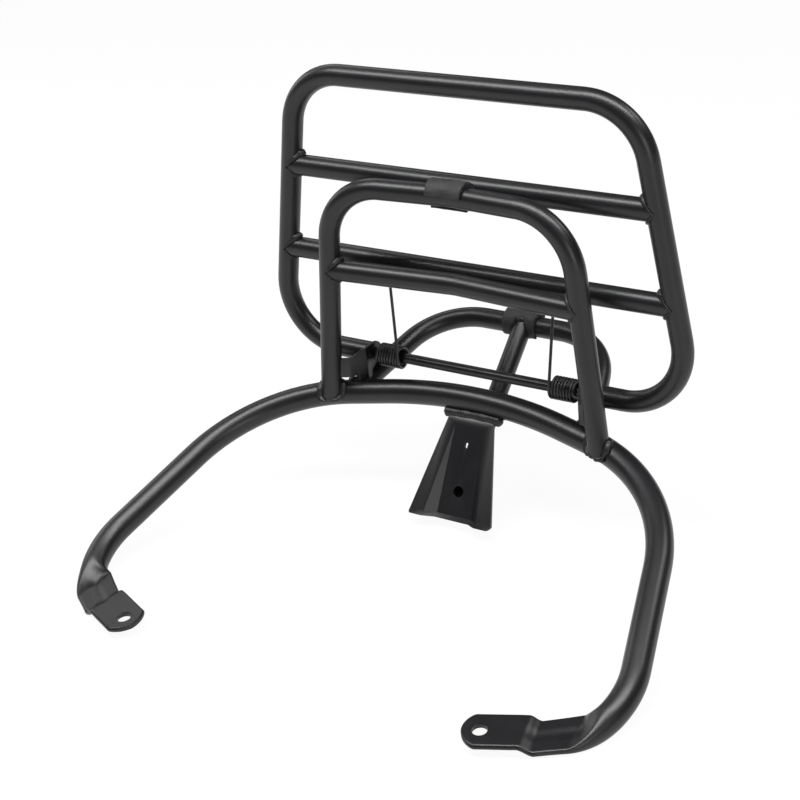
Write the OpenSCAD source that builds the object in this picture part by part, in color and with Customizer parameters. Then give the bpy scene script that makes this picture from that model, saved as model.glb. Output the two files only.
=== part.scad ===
// Motorcycle luggage rack: a welded tube carrier whose upright rack frame folds down to the rear.
// Millimetres. +Z is up, +Y is to the rear, X runs across. The origin lies midway between the two
// lug holes, on the underside of the lugs.

/* [Tubes] */
// Outer diameter of the backrest, rack and support loop tubes
tube_d = 16; // [12:1:22]
// Wall of those tubes
tube_wall = 1.5; // [1:0.25:2.5]
// Outer diameter of the hoop tube
hoop_d = 19; // [16:1:25]
// Wall of the hoop tube
hoop_wall = 2; // [1:0.5:3]
// Outer diameter of the strut
strut_d = 15; // [12:1:18]

/* [Hinge] */
// Height of the hinge axis above the underside of the lugs
hinge_height = 101; // [80:1:130]
// Distance of the hinge axis behind the lug holes
hinge_setback = 262.5; // [220:0.5:300]
// Diameter of the hinge rod
rod_d = 8; // [6:0.5:10]
// Radial running clearance of the rod in the hinge plates
rod_clear = 0.06; // [0.03:0.01:0.1]
// Thickness of the hinge plates
plate_t = 2; // [1.5:0.5:4]
// Distance of each hinge plate from the middle, to the middle of the sheet
plate_x = 91; // [80:0.5:100]
// Radius of the hinge plate round the rod
plate_head_r = 9; // [7:0.5:12]
// Where each bottom rail of the rack ends, from the middle
rail_end = 93.5; // [90:0.5:100]
// Length of the plug in each rail end
plug_len = 14; // [8:1:20]
// Clearance of the plug in the rail and of the rod in the plug, held by weld
plug_clear = 0.02; // [0:0.01:0.05]

/* [Folding rack] */
// Half width between the bottom corners, tube axis to the middle
rack_half_bottom = 174.7; // [150:0.1:190]
// Half width between the top corners
rack_half_top = 136.8; // [120:0.1:160]
// Height of the top rail above the hinge axis
rack_height = 220.1; // [180:0.1:250]
// Bend radius of the corners
rack_bend = 46; // [35:1:60]
// Height of the lower cross bar above the hinge axis
bar_low = 79.6; // [60:0.1:100]
// Height of the upper cross bar above the top bar of the backrest, whose buffer it rests on
bar_over = 0.3; // [-4:0.1:4]
// Gap that the weld fills between the cut end of each cross bar and the upright
weld_gap = 0.05; // [0.02:0.01:0.2]

/* [Backrest] */
// Half width at the feet
back_half_foot = 114.5; // [100:0.5:130]
// Level of the feet below the hinge axis
back_foot_drop = 28; // [20:0.5:40]
// Half width at the shoulders
back_half_top = 96.8; // [80:0.1:110]
// Level of the top bar above the hinge axis
back_top = 147.2; // [120:0.1:170]
// Distance of the middle of the top bar in front of the hinge axis
back_front = 20; // [15:0.5:30]
// How far each half is turned forward at its outer side, in degrees
back_sweep = 4.8; // [0:0.1:10]
// Bend radius of the shoulders
back_bend = 46; // [35:1:60]
// Bend radius of the middle of the cross tubes
middle_bend = 60; // [40:5:120]
// Level of the backrest cross bar above the hinge axis
back_bar = 79.5; // [60:0.5:100]

/* [Hoop] */
// Slope of the plane of the hoop, down towards the front
hoop_slope = 19.76; // [10:0.01:30]
// Distance of the rear of the hoop in front of the hinge axis
hoop_front = 4.2; // [0:0.1:15]
// Distance of the rear of the hoop below the hinge axis
hoop_drop = 21.4; // [15:0.1:35]
// First bend on each side: half width of its corner
hoop_x1 = 38.9; // [30:0.1:60]
// First bend radius
hoop_r1 = 285; // [200:5:400]
// Second bend: half width of its corner
hoop_x2 = 176.35; // [160:0.05:190]
// Second bend: distance of its corner along the plane
hoop_v2 = 36.45; // [25:0.05:60]
// Second bend radius
hoop_r2 = 126; // [100:1:150]
// Third bend: half width of its corner
hoop_x3 = 219.45; // [200:0.05:230]
// Third bend: distance of its corner along the plane
hoop_v3 = 221.8; // [200:0.1:240]
// Third bend radius
hoop_r3 = 68.7; // [50:0.1:80]
// Angle of the third bend that stays round
hoop_keep = 28.5; // [15:0.5:40]
// Where the last straight of the hoop points to: half width
hoop_x4 = 180.9; // [160:0.1:200]
// Where the last straight of the hoop points to: distance along the plane
hoop_v4 = 267.8; // [250:0.1:290]

/* [Lugs] */
// Distance between the two lug holes
lug_spacing = 287; // [260:1:310]
// Diameter of the lug holes
lug_hole_d = 10; // [7:0.5:12]
// Width of the flattened tube
flat_w = 29.4; // [24:0.1:34]
// Angle of the lugs, forward of straight inward
lug_angle = 24; // [0:1:45]
// Distance from the lug hole to the tip
lug_tip = 11.8; // [9:0.1:16]
// Radius of the tip
lug_tip_r = 17; // [14:0.5:22]
// Length of the lug behind the hole
lug_len = 26.5; // [18:0.5:35]
// Length of the step between the lug and the flattened tube
step_len = 9.4; // [8:0.1:16]
// Angle of the way down the step, forward of straight inward
step_angle = 19; // [0:1:45]
// Length of the flattened tube between the step and the round tube
flat_len = 23.9; // [15:0.1:30]
// Angle of that length, forward of straight inward
flat_angle = 36; // [20:1:50]
// Turn of the fold at the top of the step
fold_top = 10; // [0:0.5:40]
// Turn of the fold at the foot of the step
fold_foot = 15; // [0:0.5:40]
// Turn of the line where the flattened tube starts to rise
fold_ramp = 6.5; // [0:0.5:40]

/* [Support loop and strut] */
// Distance of the rear bar of the loop behind the rear of the hoop, along the plane of the hoop
loop_back = 83.5; // [70:0.5:100]
// Half width of the loop at its rear corners
loop_half = 71.9; // [60:0.1:80]
// Half width of the loop where it meets the hoop
loop_half_foot = 98.7; // [90:0.1:110]
// Bend radius of the loop corners
loop_bend = 52; // [35:1:60]
// Slope of the strut, down towards the front
strut_slope = 39.6; // [30:0.1:50]
// Height of the strut axis above the axis of the rear bar of the loop
strut_above = 2.1; // [0:0.1:4]
// Distance of the strut and the tail bracket to the right of the middle
strut_right = 1.2; // [-3:0.1:3]
// Length of the strut before its lower end is cut to the bracket
strut_reach = 175; // [150:1:200]

/* [Tail bracket] */
// Thickness of the sheet
sheet_t = 2.5; // [1.5:0.5:4]
// Lean of the wings from upright, down towards the front
bracket_lean = 33.25; // [20:0.25:45]
// Half width at the neck
neck_half = 19.4; // [15:0.1:25]
// Level of the neck below the hinge axis
neck_drop = 34; // [30:0.5:40]
// Distance of the neck in front of the hinge axis
neck_front = 15.6; // [10:0.1:20]
// Length of the wings below the neck
bracket_len = 73.5; // [60:0.5:90]
// Half width at the bottom
foot_half = 35; // [30:0.1:45]
// How far the middle panel is set back at the bottom
recess = 6.6; // [0:0.1:8]
// How much higher the middle panel ends than the wings
recess_lift = 1.2; // [0:0.1:5]
// Half width of the middle panel at the top
panel_top = 12.2; // [8:0.1:18]
// Half width of the middle panel at the bottom
panel_bottom = 14.8; // [8:0.1:20]
// Half width between the inner edges of the wings at the bottom
wing_inner = 22.8; // [18:0.1:30]
// Distance of the upper end of the middle panel below the neck
panel_start = 4; // [2:0.1:10]
// Diameter of the round hole
big_hole_d = 8.5; // [6:0.5:12]
// Distance of the round hole below the neck
big_hole_at = 53.5; // [45:0.1:65]
// Width of the small slot
slot_w = 2.8; // [2:0.1:5]
// Distance of the small slot below the neck
slot_at = 18.2; // [10:0.1:30]

/* [Return springs] */
// Wire diameter
wire_d = 2.3; // [1.5:0.1:3]
// Mean radius of the coil
coil_r = 7.85; // [6:0.05:9]
// Outer end of the coil, from the middle
coil_out = 84; // [75:0.5:88]
// Inner end of the coil, from the middle
coil_in = 64; // [55:0.5:75]
// Number of turns
turns = 6; // [3:1:9]
// Outward lean of the long leg of the left spring
lean_left = 9; // [0:1:15]
// Outward lean of the long leg of the right spring
lean_right = 0; // [0:1:15]
// Length of each long leg past the point where it touches the lower cross bar
leg_over = 2; // [0:0.5:12]

/* [Rubber buffers] */
// Thickness of the rubber
rubber_t = 3.7; // [2:0.1:6]
// Length of the buffers
rubber_len = 36; // [25:1:50]
// How much thinner the rubber is in front and underneath
rubber_thin = 1.6; // [0:0.1:2.5]
// First and last angle of the gap in the backrest buffer, 180 to the front and 270 down
back_gap = [169, 255]; // [150:1:300]
// First and last angle of the gap in the loop buffer
loop_gap = [235, 290]; // [150:1:300]

/* [Hidden] */
$fn = 96;

black = [0.05, 0.05, 0.055];
steel = [0.22, 0.22, 0.23];
rubber = [0.03, 0.03, 0.03];

// A tube loses a little of its diameter in a bend, and each bend reaches a little into the straights
loss = 0.1;
lap = 0.3;

tube_id = tube_d - 2 * tube_wall;
hoop_id = hoop_d - 2 * hoop_wall;
flat_t = 2 * hoop_wall;

function unit(v) = v / norm(v);
function turn(a, b, c) = acos(unit(b - a) * unit(c - b));
function setback(pts, radii, i) =
    i <= 0 || i >= len(pts) - 1 ? 0 : radii[i] * tan(turn(pts[i - 1], pts[i], pts[i + 1]) / 2);
function lap_deg(r) = lap / r * 180 / PI;

// A point x across and v forward in the sloping plane of the hoop
function in_plane(x, v) = [x, hinge_setback - hoop_front - v * cos(hoop_slope),
    hinge_height - hoop_drop - v * sin(hoop_slope)];
// A point measured from the hinge axis
function from_hinge(x, y, z) = [x, hinge_setback + y, hinge_height + z];

module along(p, q) {
    z = unit(q - p);
    x = unit(cross(abs(z[2]) > 0.9 ? [1, 0, 0] : [0, 0, 1], z));
    y = cross(z, x);
    multmatrix([[x[0], y[0], z[0], p[0]], [x[1], y[1], z[1], p[1]], [x[2], y[2], z[2], p[2]], [0, 0, 0, 1]])
        children();
}

module ring(od, id) {
    difference() {
        circle(d = od);
        if (id > 0) circle(d = id);
    }
}

module straight(p, q, od, id = 0) {
    along(p, q) linear_extrude(norm(q - p)) ring(od, id);
}

// The bend at b, on the way from a to c, drawn for the given angle from where it starts
module bend(a, b, c, r, od, id, angle) {
    d1 = unit(b - a);
    d2 = unit(c - b);
    m = unit(d2 - d1 * (d1 * d2));
    p = b - d1 * (r * tan(turn(a, b, c) / 2));
    o = p + m * r;
    x = -m;
    z = cross(x, d1);
    multmatrix([[x[0], d1[0], z[0], o[0]], [x[1], d1[1], z[1], o[1]], [x[2], d1[2], z[2], o[2]], [0, 0, 0, 1]])
        rotate([0, 0, -lap_deg(r)])
            rotate_extrude(angle = angle + 2 * lap_deg(r))
                translate([r, 0]) ring(od - loss, id > 0 ? id + loss : 0);
}

// A tube along the points, with a bend of the given radius at each inner point
module bent(pts, radii, od, id) {
    n = len(pts);
    for (i = [0 : n - 2]) {
        d = unit(pts[i + 1] - pts[i]);
        straight(pts[i] + d * setback(pts, radii, i), pts[i + 1] - d * setback(pts, radii, i + 1), od, id);
    }
    for (i = [1 : n - 2])
        bend(pts[i - 1], pts[i], pts[i + 1], radii[i], od, id, turn(pts[i - 1], pts[i], pts[i + 1]));
}

// Hoop with its flattened ends

hoop_corners = [
    in_plane(-hoop_x4, hoop_v4), in_plane(-hoop_x3, hoop_v3), in_plane(-hoop_x2, hoop_v2), in_plane(-hoop_x1, 0),
    in_plane(hoop_x1, 0), in_plane(hoop_x2, hoop_v2), in_plane(hoop_x3, hoop_v3), in_plane(hoop_x4, hoop_v4)];
hoop_radii = [0, hoop_r3, hoop_r2, hoop_r1, hoop_r1, hoop_r2, hoop_r3, 0];
hoop_far = 7;

// The straights and bends between the two third bends, and the round part of those
module hoop_body(od, id) {
    for (i = [1 : hoop_far - 2]) {
        d = unit(hoop_corners[i + 1] - hoop_corners[i]);
        straight(hoop_corners[i] + d * setback(hoop_corners, hoop_radii, i),
            hoop_corners[i + 1] - d * setback(hoop_corners, hoop_radii, i + 1), od, id);
    }
    for (i = [2 : hoop_far - 2])
        bend(hoop_corners[i - 1], hoop_corners[i], hoop_corners[i + 1], hoop_radii[i], od, id,
            turn(hoop_corners[i - 1], hoop_corners[i], hoop_corners[i + 1]));
    bend(hoop_corners[5], hoop_corners[6], hoop_corners[7], hoop_r3, od, id, hoop_keep);
    bend(hoop_corners[2], hoop_corners[1], hoop_corners[0], hoop_r3, od, id, hoop_keep);
}

// Right side: where the round tube ends and which way it heads there
run3 = unit(hoop_corners[6] - hoop_corners[5]);
out3 = unit(hoop_corners[7] - hoop_corners[6]);
inward3 = unit(out3 - run3 * (run3 * out3));
start3 = hoop_corners[6] - run3 * setback(hoop_corners, hoop_radii, 6);
round_end = start3 + inward3 * hoop_r3 * (1 - cos(hoop_keep)) + run3 * hoop_r3 * sin(hoop_keep);
round_dir = run3 * cos(hoop_keep) + inward3 * sin(hoop_keep);

// Right side: middle of the flattened tube at each change of direction, from the lug hole backwards
function inward(angle) = [-cos(angle), -sin(angle), 0];
lug_dir = inward(lug_angle);
step_dir = inward(step_angle);
flat_dir = inward(flat_angle);
lug_hole = [lug_spacing / 2, 0, flat_t / 2];
lug_start = lug_hole - lug_dir * lug_len;
step_start = lug_start - step_dir * step_len - [0, 0, flat_t];
flat_start = step_start - flat_dir * flat_len;
lug_end = lug_hole + lug_dir * (lug_tip + 1);

// Squeezed part between the round tube and the flattened tube
squeeze = norm(flat_start - round_end);
function squeezed_at(u) = round_end * (2 * pow(u, 3) - 3 * u * u + 1)
    + round_dir * squeeze * (pow(u, 3) - 2 * u * u + u)
    + flat_start * (3 * u * u - 2 * pow(u, 3)) + flat_dir * squeeze * (pow(u, 3) - u * u);
function squeezed_dir(u) = unit(squeezed_at(min(1, u + 0.01)) - squeezed_at(max(0, u - 0.01)));
// The sections turn from square across the round tube to the slanting line where the flat starts
function squeezed_face(u) = unit(round_dir * (1 - u) + inward(fold_ramp) * u);
function width_at(t) = t + (flat_w - flat_t) * (hoop_d - t) / (hoop_d - flat_t);

// Each station: centre, way the section faces, thickness, way of the tube
function squeezed(u, t) = [squeezed_at(u), squeezed_face(u), t, squeezed_dir(u)];
outer_stations = [
    [round_end, round_dir, hoop_d + 0.25, round_dir],
    squeezed(0.2, 18.6),
    squeezed(0.4, 17),
    squeezed(0.6, 13.2),
    squeezed(0.8, 8),
    squeezed(0.92, 5.2),
    [flat_start, inward(fold_ramp), flat_t, flat_dir],
    [step_start, inward(fold_foot), flat_t, unit(flat_dir + step_dir)],
    [lug_start, inward(fold_top), flat_t, unit(step_dir + lug_dir)],
    [lug_end, lug_dir, flat_t, lug_dir]];
inner_stations = [
    [round_end - round_dir, round_dir, hoop_id + 0.4, round_dir],
    squeezed(0.2, 18.6 - flat_t),
    squeezed(0.4, 17 - flat_t),
    squeezed(0.6, 13.2 - flat_t),
    squeezed(0.8, 8 - flat_t)];
// Width along a section that doesn't lie square across the tube
function outer_width(q) = max(q[2] + 0.1, width_at(q[2])) / (q[1] * q[3]);
function inner_width(q) = max(q[2] + 0.2, width_at(q[2] + flat_t) - flat_t) / (q[1] * q[3]);

half_points = 12;
function across(t) = unit([-t[1], t[0], 0]);
// Cross section: two half circles joined by straights
function section(s, w) = let (c = s[0], t = s[1], th = s[2], a = across(t), n = cross(a, t) * -1, f = (w - th) / 2)
    concat(
        [for (i = [0 : half_points]) let (g = -90 + 180 * i / half_points)
            c + a * (f + th / 2 * cos(g)) + n * (th / 2 * sin(g))],
        [for (i = [0 : half_points]) let (g = 90 + 180 * i / half_points)
            c + a * (-f + th / 2 * cos(g)) + n * (th / 2 * sin(g))]);
function on_side(s, p) = [s * p[0], p[1], p[2]];
function facing(s, list) = [for (f = list) s > 0 ? f : [for (i = [len(f) - 1 : -1 : 0]) f[i]]];
// Triangles over a flat face
function fan(f) = [for (i = [1 : len(f) - 2]) [f[0], f[i], f[i + 1]]];
function fans(list) = [for (f = list) each fan(f)];
// Triangles over the skin of k sections of n points each, with both ends closed
function skin(k, n) = concat(
    fan([for (i = [0 : n - 1]) i]),
    [for (j = [0 : k - 2]) for (i = [0 : n - 1]) [j * n + i, (j + 1) * n + i, j * n + (i + 1) % n]],
    [for (j = [0 : k - 2]) for (i = [0 : n - 1]) [(j + 1) * n + i, (j + 1) * n + (i + 1) % n, j * n + (i + 1) % n]],
    fan([for (i = [n - 1 : -1 : 0]) (k - 1) * n + i]));

module loft(stations, widths, s) {
    n = 2 * half_points + 2;
    points = [for (j = [0 : len(stations) - 1]) for (p = section(stations[j], widths[j])) on_side(s, p)];
    polyhedron(points, facing(s, skin(len(stations), n)));
}

module flattened_end(s) {
    difference() {
        loft(outer_stations, [for (q = outer_stations) outer_width(q)], s);
        loft(inner_stations, [for (q = inner_stations) inner_width(q)], s);
        translate([s * lug_hole[0], 0, -5]) cylinder(d = lug_hole_d, h = 20);
        translate([s * lug_hole[0], 0, -5]) rotate([0, 0, s > 0 ? 180 + lug_angle : -lug_angle])
            difference() {
                translate([0, -25, 0]) cube([25, 50, 20]);
                translate([lug_tip - lug_tip_r, 0, -1]) cylinder(r = lug_tip_r, h = 22);
            }
    }
}

module hoop_tube() {
    color(black) {
        hoop_body(hoop_d, hoop_id);
        flattened_end(1);
        flattened_end(-1);
    }
}

// Backrest

function back_y(x) = -back_front - tan(back_sweep) * abs(x);
function back_at(x, z) = from_hinge(x, back_y(x), z);
back_path = [
    back_at(-back_half_foot, -back_foot_drop), back_at(-back_half_top, back_top), back_at(0, back_top),
    back_at(back_half_top, back_top), back_at(back_half_foot, -back_foot_drop)];
back_radii = [0, back_bend, middle_bend, back_bend, 0];
back_taper = (back_half_foot - back_half_top) / (back_foot_drop + back_top);
function back_half(z) = back_half_foot - (z + back_foot_drop) * back_taper;

module backrest_tube() {
    color(black) difference() {
        bent(back_path, back_radii, tube_d, tube_id);
        hoop_body(hoop_d, 0);
    }
}

module backrest_crossbar() {
    w = back_half(back_bar);
    color(black) difference() {
        bent([back_at(-w, back_bar), back_at(0, back_bar), back_at(w, back_bar)], [0, middle_bend, 0],
            tube_d, tube_id);
        for (s = [-1, 1])
            straight(back_at(s * back_half(back_bar - 30), back_bar - 30),
                back_at(s * back_half(back_bar + 30), back_bar + 30), tube_d);
    }
}

// Folding rack

bar_high = back_top + bar_over;
rack_path = [
    from_hinge(-rail_end, 0, 0), from_hinge(-rack_half_bottom, 0, 0), from_hinge(-rack_half_top, 0, rack_height),
    from_hinge(rack_half_top, 0, rack_height), from_hinge(rack_half_bottom, 0, 0), from_hinge(rail_end, 0, 0)];
rack_radii = [0, rack_bend, rack_bend, rack_bend, rack_bend, 0];
rack_taper = (rack_half_bottom - rack_half_top) / rack_height;
function rack_half(z) = rack_half_bottom - z * rack_taper;

module rack_tube() {
    color(black) bent(rack_path, rack_radii, tube_d, tube_id);
}

module rack_bar(z) {
    color(black) difference() {
        straight(from_hinge(-rack_half(z), 0, z), from_hinge(rack_half(z), 0, z), tube_d, tube_id);
        for (s = [-1, 1])
            straight(from_hinge(s * rack_half(z - 25), 0, z - 25), from_hinge(s * rack_half(z + 25), 0, z + 25),
                tube_d + 2 * weld_gap);
    }
}

module rack_lower_bar() {
    rack_bar(bar_low);
}

module rack_upper_bar() {
    rack_bar(bar_high);
}

rod_half = rail_end + plug_len - 1;

module rail_plug(s) {
    color(steel) difference() {
        straight(from_hinge(s * rail_end, 0, 0), from_hinge(s * (rail_end + plug_len), 0, 0),
            tube_id - 2 * plug_clear);
        straight(from_hinge(s * (rail_end - 1), 0, 0), from_hinge(s * rod_half, 0, 0), rod_d + 2 * plug_clear);
    }
}

module rail_plug_left() {
    rail_plug(-1);
}

module rail_plug_right() {
    rail_plug(1);
}

module hinge_rod() {
    color(black) straight(from_hinge(-rod_half, 0, 0), from_hinge(rod_half, 0, 0), rod_d);
}

// Hinge plates

// Outline of a strip of thickness t along the points
function normal_at(p, i) = let (
        a = unit(p[max(i, 1)] - p[max(i, 1) - 1]),
        b = unit(p[min(i + 1, len(p) - 1)] - p[min(i + 1, len(p) - 1) - 1]),
        m = unit(a + b))
    [-m[1], m[0]] / (m * a);
function strip(p, t) = concat(
    [for (i = [0 : len(p) - 1]) p[i] + normal_at(p, i) * t / 2],
    [for (i = [len(p) - 1 : -1 : 0]) p[i] - normal_at(p, i) * t / 2]);
function arc(cx, cy, r, from, to, n = 8) = [for (i = [0 : n]) let (g = from + (to - from) * i / n)
    [cx + r * cos(g), cy + r * sin(g)]];

plate_plan = [[plate_x, 10], [plate_x, -12], [plate_x + 7, -25], [plate_x + 17, -29.5]];
// Side outline, distance behind the hinge axis and height over it
plate_side = concat(
    [[0, plate_head_r]], arc(-12, plate_head_r - 8, 8, 90, 118, 4), [[-21, 5.2], [-34, 4.6], [-34, -11]],
    [[-21.5, -11]], arc(-21.5, -13.5, 2.5, 90, 0, 4), [[-19, -25], [-6.5, -25]],
    arc(-3, -14, 3.5, 180, 90, 4), [[0, -plate_head_r]]);

module hinge_plate(s) {
    color(black) difference() {
        intersection() {
            translate([0, hinge_setback, hinge_height - 40]) linear_extrude(80)
                polygon([for (q = strip(plate_plan, plate_t)) [s * q[0], q[1]]]);
            translate(from_hinge(s > 0 ? 80 : -120, 0, 0)) rotate([90, 0, 90]) linear_extrude(40)
                union() {
                    polygon(plate_side);
                    circle(r = plate_head_r);
                }
        }
        straight(from_hinge(s * 80, 0, 0), from_hinge(s * 100, 0, 0), rod_d + 2 * rod_clear);
        straight(coil_point(s, 80, leg_tilt - hook_deg), coil_point(s, 100, leg_tilt - hook_deg), wire_d + 0.1);
        hoop_body(hoop_d, 0);
        straight(back_path[s > 0 ? 4 : 0], back_path[s > 0 ? 3 : 1], tube_d);
        straight(loop_path[s > 0 ? 3 : 0], loop_path[s > 0 ? 2 : 1], tube_d);
    }
}

module hinge_plate_left() {
    hinge_plate(-1);
}

module hinge_plate_right() {
    hinge_plate(1);
}

// Return springs

leg_tilt = asin((coil_r + tube_d / 2 + wire_d / 2) / bar_low);
leg_len = sqrt(pow(bar_low, 2) - pow(coil_r + tube_d / 2 + wire_d / 2, 2)) + leg_over;
hook_r = wire_d;
hook_deg = hook_r / coil_r * 180 / PI;
coil_step = 22.5;
wire_sides = 8;
function coil_point(s, x, g) = from_hinge(s * x, -coil_r * cos(g), coil_r * sin(g));
function spring_path(s, lean) = let (
        total = 360 * turns,
        n = total / coil_step,
        start = coil_point(s, coil_in, leg_tilt),
        leg = [s * sin(lean), cos(lean) * sin(leg_tilt), cos(lean) * cos(leg_tilt)])
    concat(
        [coil_point(s, plate_x + 2.2, leg_tilt - total - hook_deg)],
        [for (b = [0 : 22.5 : 67.5])
            coil_point(s, coil_out + hook_r * (1 - sin(b)), leg_tilt - total - hook_deg * cos(b))],
        [for (i = [0 : n]) coil_point(s, coil_out + (coil_in - coil_out) * i / n, leg_tilt - total + coil_step * i)],
        [start + leg * leg_len / cos(lean)]);
function radial(p) = unit([0, p[1] - hinge_setback, p[2] - hinge_height]);

module spring(s, lean) {
    path = spring_path(s, lean);
    last = len(path) - 1;
    points = [for (i = [0 : last])
        let (
            t = unit(path[min(i + 1, last)] - path[max(i - 1, 0)]),
            q = radial(path[min(i, last - 1)]),
            u = unit(q - t * (q * t)),
            v = cross(t, u))
        for (k = [0 : wire_sides - 1])
            path[i] + (u * cos(360 * k / wire_sides) + v * sin(360 * k / wire_sides)) * wire_d / 2];
    color(steel) polyhedron(points, skin(last + 1, wire_sides));
}

module spring_left() {
    spring(-1, lean_left);
}

module spring_right() {
    spring(1, lean_right);
}

// Support loop and strut

loop_path = [
    in_plane(-loop_half_foot, 10), in_plane(-loop_half, -loop_back), in_plane(loop_half, -loop_back),
    in_plane(loop_half_foot, 10)];

module support_loop() {
    color(black) difference() {
        bent(loop_path, [0, loop_bend, loop_bend, 0], tube_d, tube_id);
        hoop_body(hoop_d, 0);
    }
}

loop_bar = in_plane(0, -loop_back);
strut_top = loop_bar + [strut_right, 0, strut_above];
strut_dir = [0, -cos(strut_slope), -sin(strut_slope)];

module support_strut() {
    color(black) difference() {
        straight(strut_top, strut_top + strut_dir * strut_reach, strut_d, strut_d - 2 * tube_wall);
        straight(loop_bar - [40, 0, 0], loop_bar + [40, 0, 0], tube_d);
        sheet(-70, sheet_t);
        on_bracket() translate([-30, bracket_len - 2, -60]) cube([60, 60, 120]);
    }
}

// Tail bracket

// In the frame of the bracket x runs across, y down the wings from the neck and z out of their back
module on_bracket() {
    translate(from_hinge(strut_right, -neck_front, -neck_drop)) rotate([-90 - bracket_lean, 0, 0]) children();
}

lip = [0, 3.6, -3.4];
flange = [0, -8, 3];
corner_r = 4;

// The folded sheet before its outline is cut, from one distance behind its front surface to another
module sheet(from, to) {
    w = 50;
    bottom = [
        [-w, bracket_len, 0], [-wing_inner, bracket_len, 0], [-panel_bottom, bracket_len - recess_lift, recess],
        [panel_bottom, bracket_len - recess_lift, recess], [wing_inner, bracket_len, 0], [w, bracket_len, 0]];
    front = concat(
        [[-w, 0, 0] + flange, [w, 0, 0] + flange],
        [[-w, 0, 0], [w, 0, 0]],
        [[-w, panel_start, 0], [-panel_top, panel_start, 0], [panel_top, panel_start, 0], [w, panel_start, 0]],
        bottom,
        [for (q = bottom) q + lip]);
    n = len(front);
    faces = [
        [0, 1, 3, 2], [2, 3, 6], [3, 7, 6], [2, 6, 5], [2, 5, 4], [4, 5, 9, 8], [5, 6, 11, 10], [5, 10, 9], [6, 12, 11], [6, 7, 13, 12],
        [8, 9, 15, 14], [9, 10, 16, 15], [10, 11, 17, 16], [11, 12, 18, 17], [12, 13, 19, 18]];
    rim = [0, 2, 4, 8, 14, 15, 16, 17, 18, 19, 13, 7, 3, 1];
    on_bracket() polyhedron(
        concat([for (q = front) q + [0, 0, from]], [for (q = front) q + [0, 0, to]]),
        fans(concat(faces, [for (f = faces) [for (i = [len(f) - 1 : -1 : 0]) f[i] + n]],
            [for (i = [0 : len(rim) - 1]) let (a = rim[i], b = rim[(i + 1) % len(rim)]) [a, b, b + n, a + n]])));
}

bracket_outline = concat(
    [[-neck_half - 6, -14]], arc(-neck_half - 6, 0, 6, -90, 0, 5),
    arc(-foot_half + corner_r, bracket_len, corner_r, 180, 110, 5), [[-foot_half + corner_r, bracket_len + 8]],
    [[foot_half - corner_r, bracket_len + 8]], arc(foot_half - corner_r, bracket_len, corner_r, 70, 0, 5),
    arc(neck_half + 6, 0, 6, 180, 270, 5), [[neck_half + 6, -14]]);

module tail_bracket() {
    color(black) difference() {
        intersection() {
            sheet(0, sheet_t);
            on_bracket() translate([0, 0, -20]) linear_extrude(40) polygon(bracket_outline);
        }
        hoop_body(hoop_d, 0);
        on_bracket() translate([0, big_hole_at, -20]) cylinder(d = big_hole_d, h = 40);
        on_bracket() translate([0, slot_at, -20]) linear_extrude(40)
            union() {
                for (y = [-0.9, 0.9]) translate([0, y]) circle(d = slot_w);
                square([slot_w, 1.8], center = true);
            }
    }
}

// Rubber buffers

module opening(centre, from, to) {
    translate(centre - [40, 0, 0]) rotate([90, 0, 90]) linear_extrude(80)
        polygon(concat([[0, 0]], arc(0, 0, 30, from, to, 6)));
}

// The rubber is thickest at the back and on top
rubber_od = tube_d + 2 * rubber_t - rubber_thin;
rubber_shift = [0, rubber_thin / 2, rubber_thin / 2];

module backrest_buffer() {
    h = rubber_len / 2;
    way = [back_at(-h, back_top), back_at(0, back_top), back_at(h, back_top)];
    color(rubber) difference() {
        bent([for (p = way) p + rubber_shift], [0, middle_bend, 0], rubber_od, 0);
        bent([for (p = way) p + (p - way[1]) * 0.1], [0, middle_bend, 0], tube_d, 0);
        opening(back_at(0, back_top), back_gap[0], back_gap[1]);
    }
}

module loop_buffer() {
    h = [rubber_len / 2, 0, 0];
    color(rubber) difference() {
        straight(loop_bar - h + rubber_shift, loop_bar + h + rubber_shift, rubber_od);
        straight(loop_bar - 2 * h, loop_bar + 2 * h, tube_d);
        opening(loop_bar, loop_gap[0], loop_gap[1]);
        straight(strut_top, strut_top + strut_dir * strut_reach, strut_d + 5);
    }
}

hoop_tube();
backrest_tube();
backrest_crossbar();
rack_tube();
rack_lower_bar();
rack_upper_bar();
rail_plug_left();
rail_plug_right();
hinge_rod();
hinge_plate_left();
hinge_plate_right();
spring_left();
spring_right();
support_loop();
support_strut();
tail_bracket();
backrest_buffer();
loop_buffer();
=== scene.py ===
# Looks of the motorcycle luggage rack: satin black tubes, weld beads, springs, rubber sleeves, studio.
# +Z is up, +Y is to the rear, X runs across. Lengths of the rack are in millimetres and become metres by MM.
import math

import bmesh
import bpy
from mathutils import Matrix, Vector


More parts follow.
